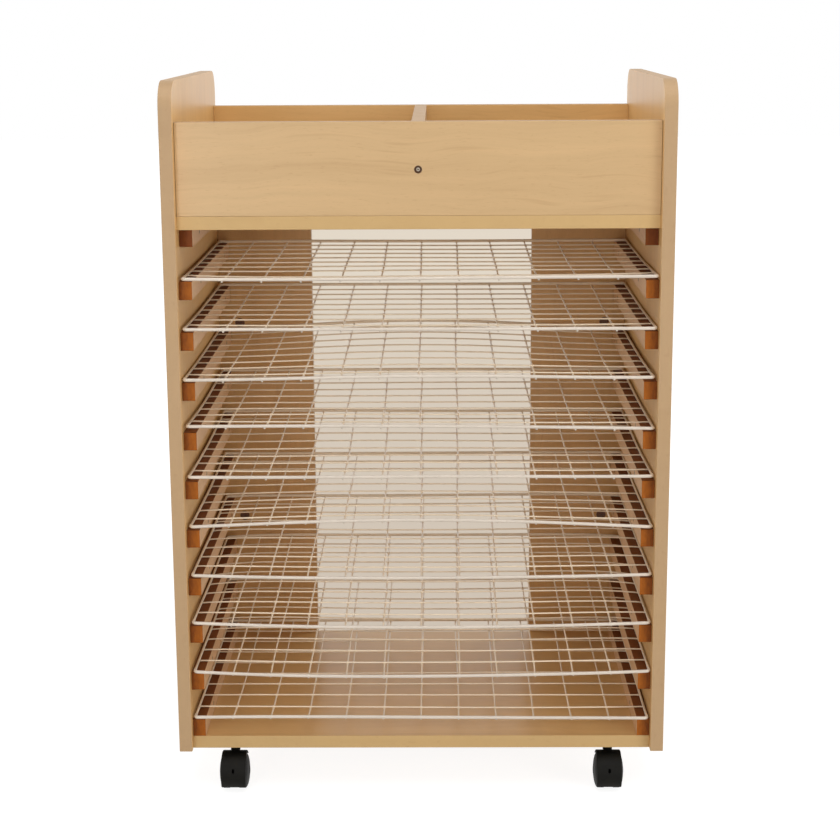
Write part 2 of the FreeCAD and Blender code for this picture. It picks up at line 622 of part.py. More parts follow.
# keep the stretch from below the axle in front to behind the stem
BAND_MID = 50.5
keep = doc.addObject("Part::Box", "hood_keep")
keep.setExpression("Length", "2 * dims.hood_r + 1.6")
keep.setExpression("Width", "2 * dims.hood_r + 1.6")
keep.setExpression("Height", "2 * dims.wheel_out")
place(keep, "dims.band_cut", "-dims.hood_r - 0.8", "-dims.wheel_out")
keep_turn = compound("hood_keep_turn", [keep])
keep_turn.Placement = FreeCAD.Placement(V(0, 0, 0), FreeCAD.Rotation(V(0, 0, 1), BAND_MID))
visor = doc.addObject("Part::Common", "hood_visor")
visor.Base = band
visor.Tool = keep_turn
# central core: axle boss, web and stem boss
hub = doc.addObject("Part::Cylinder", "hood_hub")
hub.setExpression("Radius", "dims.hub_d / 2")
hub.setExpression("Height", "dims.core_w")
place(hub, "0", "0", "-dims.core_w / 2")
web_box = doc.addObject("Part::Box", "hood_web_box")
web_box.setExpression("Length", "dims.axle_off + dims.core_w / 2 + 0.5")
web_box.setExpression("Width", "dims.hood_r")
web_box.setExpression("Height", "dims.core_w")
place(web_box, "-dims.axle_off - dims.core_w / 2 - 0.5", "0", "-dims.core_w / 2")
web_round = doc.addObject("Part::Cylinder", "hood_web_round")
web_round.setExpression("Radius", "dims.hood_r - 1")
web_round.setExpression("Height", "dims.core_w")
place(web_round, "0", "0", "-dims.core_w / 2")
web = doc.addObject("Part::Common", "hood_web")
web.Base = web_box
web.Tool = web_round
web2 = doc.addObject("Part::Box", "hood_web_front")
web2.setExpression("Length", "(dims.hood_r - 1.3) * 20 / 27.9")
web2.setExpression("Width", "(dims.hood_r - 1.3) * 19.5 / 27.9")
web2.setExpression("Height", "dims.core_w - 4")
place(web2, "0", "0", "-dims.core_w / 2 + 2")
boss = doc.addObject("Part::Cylinder", "hood_boss")
boss.setExpression("Radius", "dims.core_w / 2")
boss.setExpression("Height", "dims.hood_top - dims.wheel_r - 1")
boss.Placement = FreeCAD.Placement(V(0, 0, 0), FreeCAD.Rotation(V(1, 0, 0), -90))
place(boss, "-dims.axle_off", "0", "0")
cap = doc.addObject("Part::Cylinder", "hood_boss_cap")
cap.setExpression("Radius", "dims.boss_d / 2")
cap.setExpression("Height", "dims.boss_t")
cap.Placement = FreeCAD.Placement(V(0, 0, 0), FreeCAD.Rotation(V(1, 0, 0), -90))
place(cap, "-dims.axle_off", "dims.hood_top - dims.wheel_r - dims.boss_t", "0")
solid = doc.addObject("Part::MultiFuse", "hood_solid")
solid.Shapes = [visor, hub, web, web2, boss, cap]
# bores: axle, stem pin, small hole in the front of the hood
abore = doc.addObject("Part::Cylinder", "hood_axle_bore")
abore.setExpression("Radius", "dims.axle_d / 2 + dims.axle_fit")
abore.setExpression("Height", "2 * dims.wheel_out")
place(abore, "0", "0", "-dims.wheel_out")
pbore = doc.addObject("Part::Cylinder", "hood_pin_bore")
pbore.setExpression("Radius", "dims.pin_d / 2 + dims.pin_gap")
pbore.setExpression("Height", "dims.pin_len + 2")
pbore.Placement = FreeCAD.Placement(V(0, 0, 0), FreeCAD.Rotation(V(1, 0, 0), -90))
place(pbore, "-dims.axle_off", "dims.hood_top - dims.wheel_r - dims.pin_len - 1", "0")
# the eye is a short upright slot in the front of the band
EYE_ANGLE, EYE_LONG = 18.5, 12
eye_parts = []
for k, rise in enumerate(("-dims.eye_rise", "dims.eye_rise")):
    eye = doc.addObject("Part::Cylinder", "hood_eye_%d" % k)
    eye.setExpression("Radius", "dims.eye_w / 2")
    eye.Height = EYE_LONG
    eye.Placement = FreeCAD.Placement(V(0, 0, 0), FreeCAD.Rotation(V(0, 1, 0), 90))
    place(eye, "dims.hood_r - 5", rise, "0")
    eye_parts.append(eye)
slot = doc.addObject("Part::Box", "hood_eye_mid")
slot.Length = EYE_LONG
slot.setExpression("Width", "2 * dims.eye_rise")
slot.setExpression("Height", "dims.eye_w")
place(slot, "dims.hood_r - 5", "-dims.eye_rise", "-dims.eye_w / 2")
eye_whole = doc.addObject("Part::MultiFuse", "hood_eye")
eye_whole.Shapes = eye_parts + [slot]
eye_turn = compound("hood_eye_turn", [eye_whole])
eye_turn.Placement = FreeCAD.Placement(V(0, 0, 0), FreeCAD.Rotation(V(0, 0, 1), EYE_ANGLE))
cuts = doc.addObject("Part::MultiFuse", "hood_cuts")
cuts.Shapes = [abore, pbore, eye_turn]
hood_raw = doc.addObject("Part::Cut", "hood_raw")
hood_raw.Base = solid
hood_raw.Tool = cuts
doc.recompute()

# turn the hood's frame (x forward, y up, z across) into the cabinet's: forward is -Y
TURN = FreeCAD.Rotation(V(0, -1, 0), V(0, 0, 1), V(-1, 0, 0), "ZXY")


def caster_frame(name, source):
    comp = compound(name, [source])
    comp.Placement = FreeCAD.Placement(V(0, 0, 0), TURN)
    place(comp, "0", "-dims.axle_off", "dims.wheel_r")
    return comp


hood = caster_frame("hood", hood_raw)

# wheel: a hub cap with a groove round it, a domed outer face that is a quarter of an ellipse,
# the tread, and a blind bore for the axle
CAP = [(None, 0), (-1.4, -0.1), (-0.5, -0.35), (0, -0.9), (0.6, -0.9)]
DOME_DROP, DOME_FIRST, DOME_STEPS = 0.2, 18.7, 11
wpts = []
wexs = []
out = val("wheel_out")
rim = val("wheel_r")
for r, w in CAP:
    wpts.append((0 if r is None else val("cap_d") / 2 + r, out + w))
    wexs.append((None if r is None else "dims.cap_d / 2 + (%.2f)" % r, "dims.wheel_out + (%.2f)" % w))
for k in range(DOME_STEPS + 1):
    turn = math.radians(DOME_FIRST + (90 - DOME_FIRST) * k / DOME_STEPS)
    share, sink = math.sin(turn), 1 - math.cos(turn)
    wpts.append((rim * share, out - DOME_DROP - val("dome_h") * sink))
    wexs.append(("dims.wheel_r * %.5f" % share,
                 "dims.wheel_out - %.2f - dims.dome_h * %.5f" % (DOME_DROP, sink)))
wi = val("wheel_in")
ar = val("axle_d") / 2 + val("axle_gap")
end = val("axle_len") / 2 + 0.3
for r, w, rx, rz in ((rim, wi + 0.8, "dims.wheel_r", "dims.wheel_in + 0.8"),
                     (rim - 0.8, wi, "dims.wheel_r - 0.8", "dims.wheel_in"),
                     (rim - 5, wi, "dims.wheel_r - 5", "dims.wheel_in"),
                     (rim - 6, wi + 4, "dims.wheel_r - 6", "dims.wheel_in + 4"),
                     (rim * 0.3, wi + 4, "dims.wheel_r * 0.3", "dims.wheel_in + 4"),
                     (rim * 0.28, wi, "dims.wheel_r * 0.28", "dims.wheel_in"),
                     (ar, wi, "dims.axle_d / 2 + dims.axle_gap", "dims.wheel_in"),
                     (ar, end, "dims.axle_d / 2 + dims.axle_gap", "dims.axle_len / 2 + 0.3"),
                     (0, end, None, "dims.axle_len / 2 + 0.3")):
    wpts.append((r, w))
    wexs.append((rx, rz))
wheel = turned("wheel", wpts, wexs)
wheel_b = doc.addObject("Part::Mirroring", "wheel_b")
wheel_b.Source = wheel
wheel_b.Normal = V(0, 0, 1)
wheel_b.Base = V(0, 0, 0)

axle = doc.addObject("Part::Cylinder", "axle")
axle.setExpression("Radius", "dims.axle_d / 2")
axle.setExpression("Height", "dims.axle_len")
place(axle, "0", "0", "-dims.axle_len / 2")

axle_f = caster_frame("axle_f", axle)
wheel_l = caster_frame("wheel_l", wheel)
wheel_r = caster_frame("wheel_r_piece", wheel_b)

# pan-head caster screw: underside of the head at height 0, shank upwards
ch, ct = val("chead_d") / 2, val("chead_t")
cd, cl = val("cscrew_d") / 2, val("cscrew_len")
csc = turned("caster_screw",
             [(0, -ct), (ch - 1.2, -ct), (ch, -ct + 1.0), (ch, 0), (cd, 0), (cd, cl - 2), (0, cl)],
             [(None, "-dims.chead_t"), ("dims.chead_d / 2 - 1.2", "-dims.chead_t"),
              ("dims.chead_d / 2", "-dims.chead_t + 1"), ("dims.chead_d / 2", None),
              ("dims.cscrew_d / 2", None), ("dims.cscrew_d / 2", "dims.cscrew_len - 2"),
              (None, "dims.cscrew_len")])
quad_c = []
for dx in (-1, 1):
    for dy in (-1, 1):
        quad_c.append(put("csc_%d_%d" % (dx + 1, dy + 1), csc, "%d * dims.plate_hole" % dx,
                          "%d * dims.plate_hole" % dy, "dims.foot_h - dims.plate_t"))
set_c = compound("caster_screw_set", quad_c)

CORNERS = (("front_left", -1, False), ("front_right", 1, False),
           ("rear_left", -1, True), ("rear_right", 1, True))
sets = []
for tag, sx, rear in CORNERS:
    x = "%d * dims.stem_x" % sx
    y = "dims.half_d - dims.stem_y" if rear else "-dims.half_d + dims.stem_y"
    for part, src in (("plate", plate), ("hood", hood), ("axle", axle_f),
                      ("wheel_a", wheel_l), ("wheel_b", wheel_r)):
        node(put("c_%s_%s" % (tag, part), src, x, y, "0"), "caster_%s_%s" % (tag, part))
    sets.append(put("c_%s_screws" % tag, set_c, x, y, "0"))
node(compound("all_caster_screws", sets), "caster_screws")

# ------------------------------------------------------------------ check and write
doc.recompute()
bad = [o.Name for o in doc.Objects if "Invalid" in o.State or "Error" in o.State]
if bad:
    raise RuntimeError("objects in error: " + ", ".join(bad))
os.makedirs("parts", exist_ok=True)
for name, obj in NODES:
    shape = obj.Shape
    if shape.isNull() or not shape.isValid():
        raise RuntimeError("bad shape: " + name)
    if len(shape.Solids) < 1:
        raise RuntimeError("no solid: " + name)
    shape.exportStep("parts/%s.step" % name)
    bb = shape.BoundBox
    box = (bb.XMin, bb.XMax, bb.YMin, bb.YMax, bb.ZMin, bb.ZMax)
    print("%-28s %3d solids %9.1f cm3" % (name, len(shape.Solids), shape.Volume / 1000.0),
          " x %7.1f %7.1f  y %7.1f %7.1f  z %7.1f %7.1f" % box)
print(len(NODES), "nodes")
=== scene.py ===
import math
import random

import bpy
from mathutils import Matrix, Vector


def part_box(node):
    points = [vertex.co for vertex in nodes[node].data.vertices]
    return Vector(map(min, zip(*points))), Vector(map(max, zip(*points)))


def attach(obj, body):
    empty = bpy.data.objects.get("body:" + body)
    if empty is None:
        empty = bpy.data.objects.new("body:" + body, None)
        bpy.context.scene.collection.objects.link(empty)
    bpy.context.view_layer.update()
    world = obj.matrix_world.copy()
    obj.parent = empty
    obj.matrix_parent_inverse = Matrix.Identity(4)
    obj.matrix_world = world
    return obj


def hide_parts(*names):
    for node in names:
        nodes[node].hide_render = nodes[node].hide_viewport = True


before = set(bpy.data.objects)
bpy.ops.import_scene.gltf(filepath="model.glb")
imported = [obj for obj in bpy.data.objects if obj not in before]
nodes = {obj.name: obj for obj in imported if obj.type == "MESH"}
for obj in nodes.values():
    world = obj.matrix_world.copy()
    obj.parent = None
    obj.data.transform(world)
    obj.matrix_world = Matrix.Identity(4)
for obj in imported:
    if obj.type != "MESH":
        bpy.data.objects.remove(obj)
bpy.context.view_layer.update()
scene = bpy.context.scene

MM = 0.001
LEVELS = 10

# ---------------------------------------------------------------- camera
CAM_AT = (0.02564, -2.69428, 1.07757)
CAM_YAW, CAM_PITCH, CAM_ROLL = 0.010075, 0.215099, -0.005158
CAM_FOCAL_PX, IMAGE_PX = 1854.12, 840
SENSOR_MM = 36.0


def make_camera():
    """Camera at CAM_AT, looking along +Y before it is turned by yaw, tilted down by pitch and rolled."""
    cy, sy = math.cos(CAM_YAW), math.sin(CAM_YAW)
    cp, sp = math.cos(CAM_PITCH), math.sin(CAM_PITCH)
    right = Vector((cy, sy, 0))
    ahead = Vector((-sy * cp, cy * cp, -sp))
    up = right.cross(ahead)
    cr, sr = math.cos(CAM_ROLL), math.sin(CAM_ROLL)
    r2 = right * cr + up * sr
    u2 = up * cr - right * sr
    cam = bpy.data.objects.new("camera", bpy.data.cameras.new("camera"))
    rot = Matrix((r2, u2, -ahead)).transposed().to_4x4()
    cam.matrix_world = Matrix.Translation(CAM_AT) @ rot
    cam.data.sensor_fit = "HORIZONTAL"
    cam.data.sensor_width = SENSOR_MM
    cam.data.lens = CAM_FOCAL_PX / IMAGE_PX * SENSOR_MM
    cam.data.clip_start, cam.data.clip_end = 0.05, 60
    scene.collection.objects.link(cam)
    scene.camera = cam


make_camera()
scene.view_settings.view_transform = "Standard"


# ---------------------------------------------------------------- shader helpers
def lin(r, g, b):
    """An sRGB colour in 0..255 as linear values."""
    out = []
    for c in (r, g, b):
        c /= 255.0
        out.append(c / 12.92 if c <= 0.04045 else ((c + 0.055) / 1.055) ** 2.4)
    return tuple(out) + (1.0,)


def dim(color, *k):
    """color times k, one factor for all channels or one for each."""
    return tuple(c * f for c, f in zip(color[:3], k if len(k) == 3 else k * 3)) + (1,)


class Nodes:
    """Builds shader nodes in one tree; nearly every call returns a node's output socket."""

    def __init__(self, tree, out_kind):
        self.tree = tree
        self.tree.nodes.clear()
        self.out = self.tree.nodes.new(out_kind)

    def set(self, socket, value):
        if isinstance(value, bpy.types.NodeSocket):
            self.tree.links.new(value, socket)
        else:
            socket.default_value = value

    def node(self, kind, props=None, **ins):
        n = self.tree.nodes.new(kind)
        for key, value in (props or {}).items():
            setattr(n, key, value)
        for key, value in ins.items():
            name = int(key[1:]) if key[0] == "i" and key[1:].isdigit() else key.replace("_", " ")
            self.set(n.inputs[name], value)
        return n

    def finish(self, shader):
        self.tree.links.new(shader, self.out.inputs[0])

    def math(self, op, a, b=0.0):
        return self.node("ShaderNodeMath", {"operation": op}, i0=a, i1=b).outputs[0]

    def vmath(self, op, a, b=(0, 0, 0)):
        n = self.node("ShaderNodeVectorMath", {"operation": op}, i0=a, i1=b)
        return n.outputs[1] if op in ("DOT_PRODUCT", "LENGTH") else n.outputs[0]

    def axes(self, vector):
        return self.node("ShaderNodeSeparateXYZ", Vector=vector).outputs

    def axis(self, vector, name):
        return self.axes(vector)["XYZ".index(name)]

    def off_axis(self, vector, centre):
        """Distance from the line along Y through centre."""
        away = self.vmath("SUBTRACT", vector, centre)
        return self.vmath("LENGTH", self.vmath("MULTIPLY", away, (1, 0, 1)))

    def shown(self):
        """1 for a ray that shows this surface to the camera, straight, mirrored or through glass."""
        light = self.node("ShaderNodeLightPath").outputs
        mirrored = self.math("MAXIMUM", light["Is Glossy Ray"], light["Is Transmission Ray"])
        return self.math("MAXIMUM", light["Is Camera Ray"], mirrored)

    def scaled(self, vector, scale, offset=(0, 0, 0)):
        return self.node("ShaderNodeMapping", Vector=vector, Scale=scale, Location=offset).outputs[0]

    def noise(self, vector, scale, detail=2.0, rough=0.5):
        n = self.node("ShaderNodeTexNoise", Vector=vector, Scale=scale, Detail=detail, Roughness=rough)
        return n.outputs[0]

    def ramp(self, fac, stops):
        n = self.node("ShaderNodeValToRGB", Fac=fac)
        el = n.color_ramp.elements
        while len(el) < len(stops):
            el.new(0.5)
        for e, (pos, col) in zip(el, stops):
            e.position = pos
            e.color = col
        return n.outputs[0]

    def range(self, value, a, b, c=0.0, d=1.0, smooth=False):
        kind = "SMOOTHSTEP" if smooth else "LINEAR"
        n = self.node("ShaderNodeMapRange", {"interpolation_type": kind}, Value=value)
        for i, x in enumerate((a, b, c, d)):
            n.inputs[i + 1].default_value = x
        return n.outputs[0]

    def mix(self, fac, a, b):
        n = self.node("ShaderNodeMix", {"data_type": "RGBA", "clamp_factor": True})
        self.set(n.inputs[0], fac)
        self.set(n.inputs[6], a)
        self.set(n.inputs[7], b)
        return n.outputs[2]

    def bump(self, height, strength, distance, under=None):
        n = self.node("ShaderNodeBump", Height=height, Strength=strength, Distance=distance)
        if under is not None:
            self.set(n.inputs["Normal"], under)
        return n.outputs[0]


class Mat(Nodes):
    """One node material."""

    def __init__(self, name):
        self.mat = bpy.data.materials.new(name)
        self.mat.use_nodes = True
        super().__init__(self.mat.node_tree, "ShaderNodeOutputMaterial")
        self.co = self.tree.nodes.new("ShaderNodeTexCoord").outputs

    def object_point(self):
        return self.co["Object"]

    def facing(self, axis):
        """1 on the faces that look along axis either way, 0 on the others."""
        return self.range(self.math("ABSOLUTE", self.axis(self.co["Normal"], axis)), 0.75, 0.90)

    def surface(self, color, rough, bump, **more):
        n = self.node("ShaderNodeBsdfPrincipled", Base_Color=color, Roughness=rough, Normal=bump, **more)
        self.finish(n.outputs[0])
        return self.mat


# ---------------------------------------------------------------- wood
def grain(m, along, seed, across_side, heart=None):
    """Printed beech: along is the grain's axis, across_side the board's thickness axis, heart the
    middle of the board across the grain, in metres, where the figure is strongest. The noises are
    stretched along the grain, so each scale is (along, across, through), features to the metre.
    Returns tone, flecks and fibre, each 0..1."""
    p = m.axes(m.object_point())
    order = [along] + [a for a in "XYZ" if a != along]
    u, v, w = (p["XYZ".index(a)] for a in order)
    if order[1] == across_side:
        v, w = w, v
    vec = m.node("ShaderNodeCombineXYZ", X=u, Y=v, Z=w).outputs[0]
    far = m.scaled(vec, (1, 1, 1), (seed * 1.37, seed * 0.71, seed * 0.19))
    wander = m.noise(m.scaled(far, (4.5, 9.0, 2.0)), 1.0, 2.0)
    wander = m.math("MULTIPLY", m.math("SUBTRACT", wander, 0.5), 0.06)
    q = m.axes(far)
    bent = m.node("ShaderNodeCombineXYZ", X=q[0], Y=m.math("ADD", q[1], wander), Z=q[2]).outputs[0]
    broad = m.noise(m.scaled(bent, (1.6, 24, 3)), 1.0, 3.0, 0.55)
    bands = m.noise(m.scaled(bent, (5, 120, 8)), 1.0, 3.0, 0.6)
    fibre = m.noise(m.scaled(bent, (28, 1300, 60)), 1.0, 2.0, 0.6)
    # long thin dark lines, most of them near the heart of the board
    lines = m.range(m.noise(m.scaled(bent, (11, 210, 20)), 1.0, 1.0, 0.4), 0.60, 0.72)
    where = m.noise(m.scaled(far, (2.6, 13, 2)), 1.0, 2.0)
    if heart is not None:
        away = m.math("ABSOLUTE", m.math("SUBTRACT", v, heart))
        where = m.math("SUBTRACT", where, m.math("MULTIPLY", away, 2.2))
        lines = m.math("MULTIPLY", lines, m.range(where, 0.34, 0.52))
    else:
        lines = m.math("MULTIPLY", lines, m.range(where, 0.46, 0.62))
    fleck = m.range(m.noise(m.scaled(far, (110, 800, 200)), 1.0, 1.0, 0.4), 0.64, 0.76)
    tone = m.math("MULTIPLY", broad, 0.46)
    tone = m.math("ADD", tone, m.math("MULTIPLY", bands, 0.38))
    tone = m.math("ADD", tone, m.math("MULTIPLY", fibre, 0.16))
    return tone, m.math("MAXIMUM", fleck, lines), fibre


def shade(m, tone, fleck, base, spread, fleck_depth):
    """base colour spread by tone, with darker, redder flecks."""
    light = tuple(min(1.0, c) for c in dim(base, 1 + spread))
    dark = dim(base, *(1 - spread * k for k in (0.9, 1.15, 1.5)))
    col = m.ramp(tone, [(0.30, dark), (0.5, base), (0.70, light)])
    return m.mix(m.math("MULTIPLY", fleck, fleck_depth), col, dim(base, 0.62, 0.50, 0.36))


FACE = lin(198, 165, 120)          # laminate of the outer faces
# The side panels' inner faces, the base board, the back boards' inner faces and the tray's back panel
# take warmer, more saturated copies of the same laminate: painted warm bounce light.
SIDE_FACE_PAINTED_BOUNCE = lin(224, 182, 120)
BASE_FACE_PAINTED_BOUNCE = lin(208, 166, 110)
BAND_PINK = lin(180, 148, 110)     # edge bands
BAND_WARM = lin(196, 162, 109)
INNER_PAINTED_BOUNCE = lin(207, 163, 108)         # inner faces of the back boards
TRAY_PAINTED_BOUNCE = lin(216, 175, 116)
BORE_SHADE = lin(112, 72, 36)
# painted shadow of the gap where the front panel's ends meet the side panels
GAP_SHADOW = lin(96, 66, 34)
GAP_SHADOW_W = 0.0011                   # width of the dark line where two boards meet, m
BOARD_SHADE = (0.09, 0.20)         # spread of tone and depth of flecks: on faces, then on bands
BAND_SHADE = (0.06, 0.12)


def board_material(name, thick, along, seed, face, band, outer=0, heart=None, ends=None, bore=None):
    """ends is (axis, half length) of a board whose two ends meet its neighbours; a dark line painted
    along those ends is the shadow of the gap there.
    bore is the middle and the radius of a hole whose walls are painted dark, as shade in the hole. outer
    is the sign of the thickness axis on the face that looks out of the cabinet, which takes the plain
    laminate FACE, while the other faces keep face, for boards inside a warmer copy painted as warm bounce
    light; 0 is none."""
    m = Mat(name)
    tone, fleck, fibre = grain(m, along, seed, thick, heart)
    col = shade(m, tone, fleck, face, *BOARD_SHADE)
    band_tone, band_fleck, _ = grain(m, along, seed + 5.0, thick)
    band_col = shade(m, band_tone, band_fleck, band, *BAND_SHADE)
    # the outward face gets the plain laminate; the inward face keeps the warmer copy, painted warm bounce
    # light
    if outer:
        outward = m.range(m.math("MULTIPLY", m.axis(m.co["Normal"], thick), outer), 0.0, 0.5)
        col = m.mix(outward, col, shade(m, tone, fleck, FACE, *BOARD_SHADE))
    broad = m.facing(thick)
    col = m.mix(broad, band_col, col)
    # a little handling grime in broad soft patches
    soil = m.range(m.noise(m.object_point(), 5.5, 4.0, 0.6), 0.52, 0.78, 0.0, 0.10)
    col = m.mix(soil, col, dim(face, 0.8))
    if ends is not None:
        axis, half = ends
        reach = m.math("ABSOLUTE", m.axis(m.object_point(), axis))
        # painted shadow of the gap at both ends
        col = m.mix(m.range(reach, half - GAP_SHADOW_W, half - 0.3 * GAP_SHADOW_W, 0.0, 0.85), col, GAP_SHADOW)
    # painted shade on the walls of the hole
    if bore is not None:
        centre, radius = bore
        away = m.off_axis(m.object_point(), centre)
        col = m.mix(m.range(away, radius - 0.0002, radius + 0.0001, 1.0, 0.0), col, BORE_SHADE)
    r = m.range(m.math("ADD", fibre, m.math("MULTIPLY", soil, 2.0)), 0.3, 1.0, 0.29, 0.44)
    # the edge band is duller than the laminate
    r = m.math("ADD", r, m.math("MULTIPLY", m.math("SUBTRACT", 1.0, broad), 0.18))
    b = m.bump(fibre, 0.10, 0.00015)
    b = m.bump(fleck, 0.12, 0.0001, b)
    return m.surface(col, r, b)


def assign(name, material):
    o = nodes[name]
    o.data.materials.clear()
    o.data.materials.append(material)


def mid(name, axis):
    """Middle of a node's box along one axis, metres."""
    lo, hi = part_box(name)
    return (lo["XYZ".index(axis)] + hi["XYZ".index(axis)]) / 2


HALF_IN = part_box("tray_front_panel")[1][0]
RUNNER_T = 0.018
SCREW_AT = tuple(mid("tray_front_screw", axis) for axis in "XYZ")
SCREW_BORE, SCREW_BRIGHT, SCREW_SOCKET = 0.0053, 0.0026, 0.0011   # radii, m
for name, thick, along, seed, face, band, outer in (
    ("left_side_panel", "X", "Z", 1.0, SIDE_FACE_PAINTED_BOUNCE, BAND_PINK, -1),
    ("right_side_panel", "X", "Z", 2.3, SIDE_FACE_PAINTED_BOUNCE, BAND_PINK, 1),
    ("tray_back_panel", "Y", "X", 4.4, TRAY_PAINTED_BOUNCE, BAND_PINK, 1),
    ("tray_divider", "X", "Y", 5.2, FACE, BAND_PINK, 0),
    ("tray_floor", "Z", "X", 6.6, FACE, BAND_WARM, 0),
    ("base_board", "Z", "X", 7.9, BASE_FACE_PAINTED_BOUNCE, BAND_WARM, 0),
    ("left_back_board", "Y", "Z", 8.5, INNER_PAINTED_BOUNCE, BAND_PINK, 1),
    ("right_back_board", "Y", "Z", 9.7, INNER_PAINTED_BOUNCE, BAND_PINK, 1),
):
    assign(name, board_material(name + "_beech", thick, along, seed, face, band, outer))
assign("tray_front_panel", board_material(
    "tray_front_panel_beech", "Y", "X", 3.1, FACE, BAND_PINK,
    heart=mid("tray_front_panel", "Z"), ends=("X", HALF_IN), bore=(SCREW_AT, SCREW_BORE)))


def runner_material(name, depth):
    """Hardwood strips: brown stain on top, darkened further with painted shade from the wires above,
    orange on the sawn ends, pale on the inner face. depth is how far the ends are darkened with painted
    shade."""
    m = Mat(name)
    tone, fleck, fibre = grain(m, "Y", 11.0, "X")
    # brown stain, darkened further with painted shade from the wires above
    stain_and_shade = shade(m, tone, fleck, lin(116, 62, 22), 0.22, 0.35)
    pale = shade(m, tone, fleck, lin(212, 174, 134), 0.10, 0.3)
    x = m.axis(m.object_point(), "X")
    inward = m.math("MULTIPLY", m.axis(m.co["Normal"], "X"), m.math("SIGN", x))
    inner = m.range(inward, -0.90, -0.75, 1.0, 0.0)
    col = m.mix(inner, stain_and_shade, pale)
    # the sawn ends take the stain unevenly; darker beside the side panel, which is painted shadow of the
    # side panel's front edge
    rings = m.noise(m.scaled(m.object_point(), (260, 30, 90)), 1.0, 2.0, 0.5)
    across = m.range(m.math("ABSOLUTE", x), HALF_IN - RUNNER_T, HALF_IN)
    uneven = m.math("ADD", m.math("MULTIPLY", rings, 0.36), 0.19)
    stain = m.math("ADD", m.math("MULTIPLY", across, -0.34), uneven)
    end_col = m.ramp(stain, [(0.05, lin(112, 57, 8)), (0.28, lin(152, 83, 14)), (0.42, lin(166, 94, 26))])
    # depth darkens the ends towards dark brown: painted shade
    end_col = m.mix(depth, end_col, lin(92, 38, 8))
    col = m.mix(m.facing("Y"), col, end_col)
    r = m.range(fibre, 0.3, 1.0, 0.44, 0.6)
    return m.surface(col, r, m.bump(m.math("ADD", fibre, rings), 0.15, 0.0002), Specular_IOR_Level=0.2)


# keepers under the tray: painted shade on their ends
assign("runner_pair_00", runner_material("keeper_wood_painted_shade", 0.6))
runner_mat = runner_material("runner_wood", 0.0)
for k in range(1, LEVELS + 1):
    assign("runner_pair_%02d" % k, runner_mat)


# ---------------------------------------------------------------- metals and plastics
def screw_material(name, base, rough):
    m = Mat(name)
    p = m.object_point()
    spots = m.noise(p, 900, 3.0, 0.6)
    fine = m.noise(p, 4200, 2.0, 0.5)
    col = m.ramp(spots, [(0.3, dim(base, 0.7)), (0.6, base)])
    r = m.range(spots, 0.3, 0.7, rough, rough + 0.16)
    return m.surface(col, r, m.bump(fine, 0.12, 0.00008), Metallic=1.0)


zinc = screw_material("zinc_steel", lin(196, 192, 182), 0.30)
dull_zinc = screw_material("dull_screw", lin(120, 108, 92), 0.42)


def front_screw_material():
    """Zinc button in a dark countersink: the rim and the socket are brown with old stain and shadow."""
    m = Mat("front_screw")
    p = m.object_point()
    away = m.off_axis(p, SCREW_AT)
    spots = m.noise(p, 900, 3.0, 0.6)
    bright = m.ramp(spots, [(0.3, lin(150, 138, 120)), (0.6, lin(190, 180, 164))])
    edge = m.math("ADD", away, m.math("MULTIPLY", spots, 0.0006))
    rim = m.range(edge, SCREW_BRIGHT, SCREW_BRIGHT + 0.0006)
    socket = m.range(edge, SCREW_SOCKET, SCREW_SOCKET + 0.0005, 1.0, 0.0)
    dark = m.math("MAXIMUM", rim, socket)
    col = m.mix(dark, bright, lin(96, 66, 40))
    r = m.range(spots, 0.3, 0.7, 0.42, 0.58)
    metal = m.range(dark, 0.0, 1.0, 0.8, 0.1)
    return m.surface(col, r, m.bump(spots, 0.12, 0.00008), Metallic=metal)


assign("tray_front_screw", front_screw_material())
assign("runner_screws", dull_zinc)
assign("caster_screws", zinc)


def fitting_material():
    m = Mat("dark_fitting")
    p = m.object_point()
    n = m.noise(p, 700, 3.0, 0.6)
    col = m.ramp(n, [(0.3, lin(88, 58, 42)), (0.7, lin(118, 80, 58))])
    return m.surface(col, m.range(n, 0.3, 0.7, 0.42, 0.58), m.bump(n, 0.15, 0.0001))


assign("cam_fittings", fitting_material())


def caster_plastic():
    """Black moulded nylon with a fine spark-eroded texture, paler in patches low down."""
    m = Mat("caster_nylon")
    p = m.object_point()
    tex = m.noise(p, 1500, 3.0, 0.65)
    cloud = m.noise(p, 60, 3.0, 0.55)
    col = m.ramp(cloud, [(0.3, lin(12, 11, 9)), (0.7, lin(21, 20, 16))])
    low = m.range(m.axis(p, "Z"), 0.0, 0.022, 1.0, 0.0)
    paler_low = m.math("MULTIPLY", low, m.range(cloud, 0.4, 0.7, 0.05, 0.3))
    col = m.mix(paler_low, col, lin(60, 56, 48))
    r = m.range(cloud, 0.3, 0.7, 0.50, 0.62)
    return m.surface(col, r, m.bump(tex, 0.18, 0.00012), Specular_IOR_Level=0.12)


def wheel_plastic():
    m = Mat("caster_wheel_nylon")
    p = m.object_point()
    tex = m.noise(p, 1200, 3.0, 0.65)
    scuff = m.noise(m.scaled(p, (900, 90, 90)), 1.0, 3.0, 0.6)
    col = m.ramp(scuff, [(0.35, lin(12, 11, 9)), (0.62, lin(18, 17, 14)), (0.8, lin(44, 41, 35))])
    return m.surface(col, m.range(scuff, 0.3, 0.8, 0.44, 0.62), m.bump(tex, 0.2, 0.00015),
                     Specular_IOR_Level=0.12)


def steel(name, base, rough, metal=1.0):
    m = Mat(name)
    p = m.object_point()
    brushed = m.noise(m.scaled(p, (80, 900, 900)), 1.0, 3.0, 0.6)
    col = m.ramp(brushed, [(0.3, dim(base, 0.75)), (0.7, base)])
    return m.surface(col, m.range(brushed, 0.3, 0.7, rough, rough + 0.14), m.bump(brushed, 0.1, 0.0001),
                     Metallic=metal)


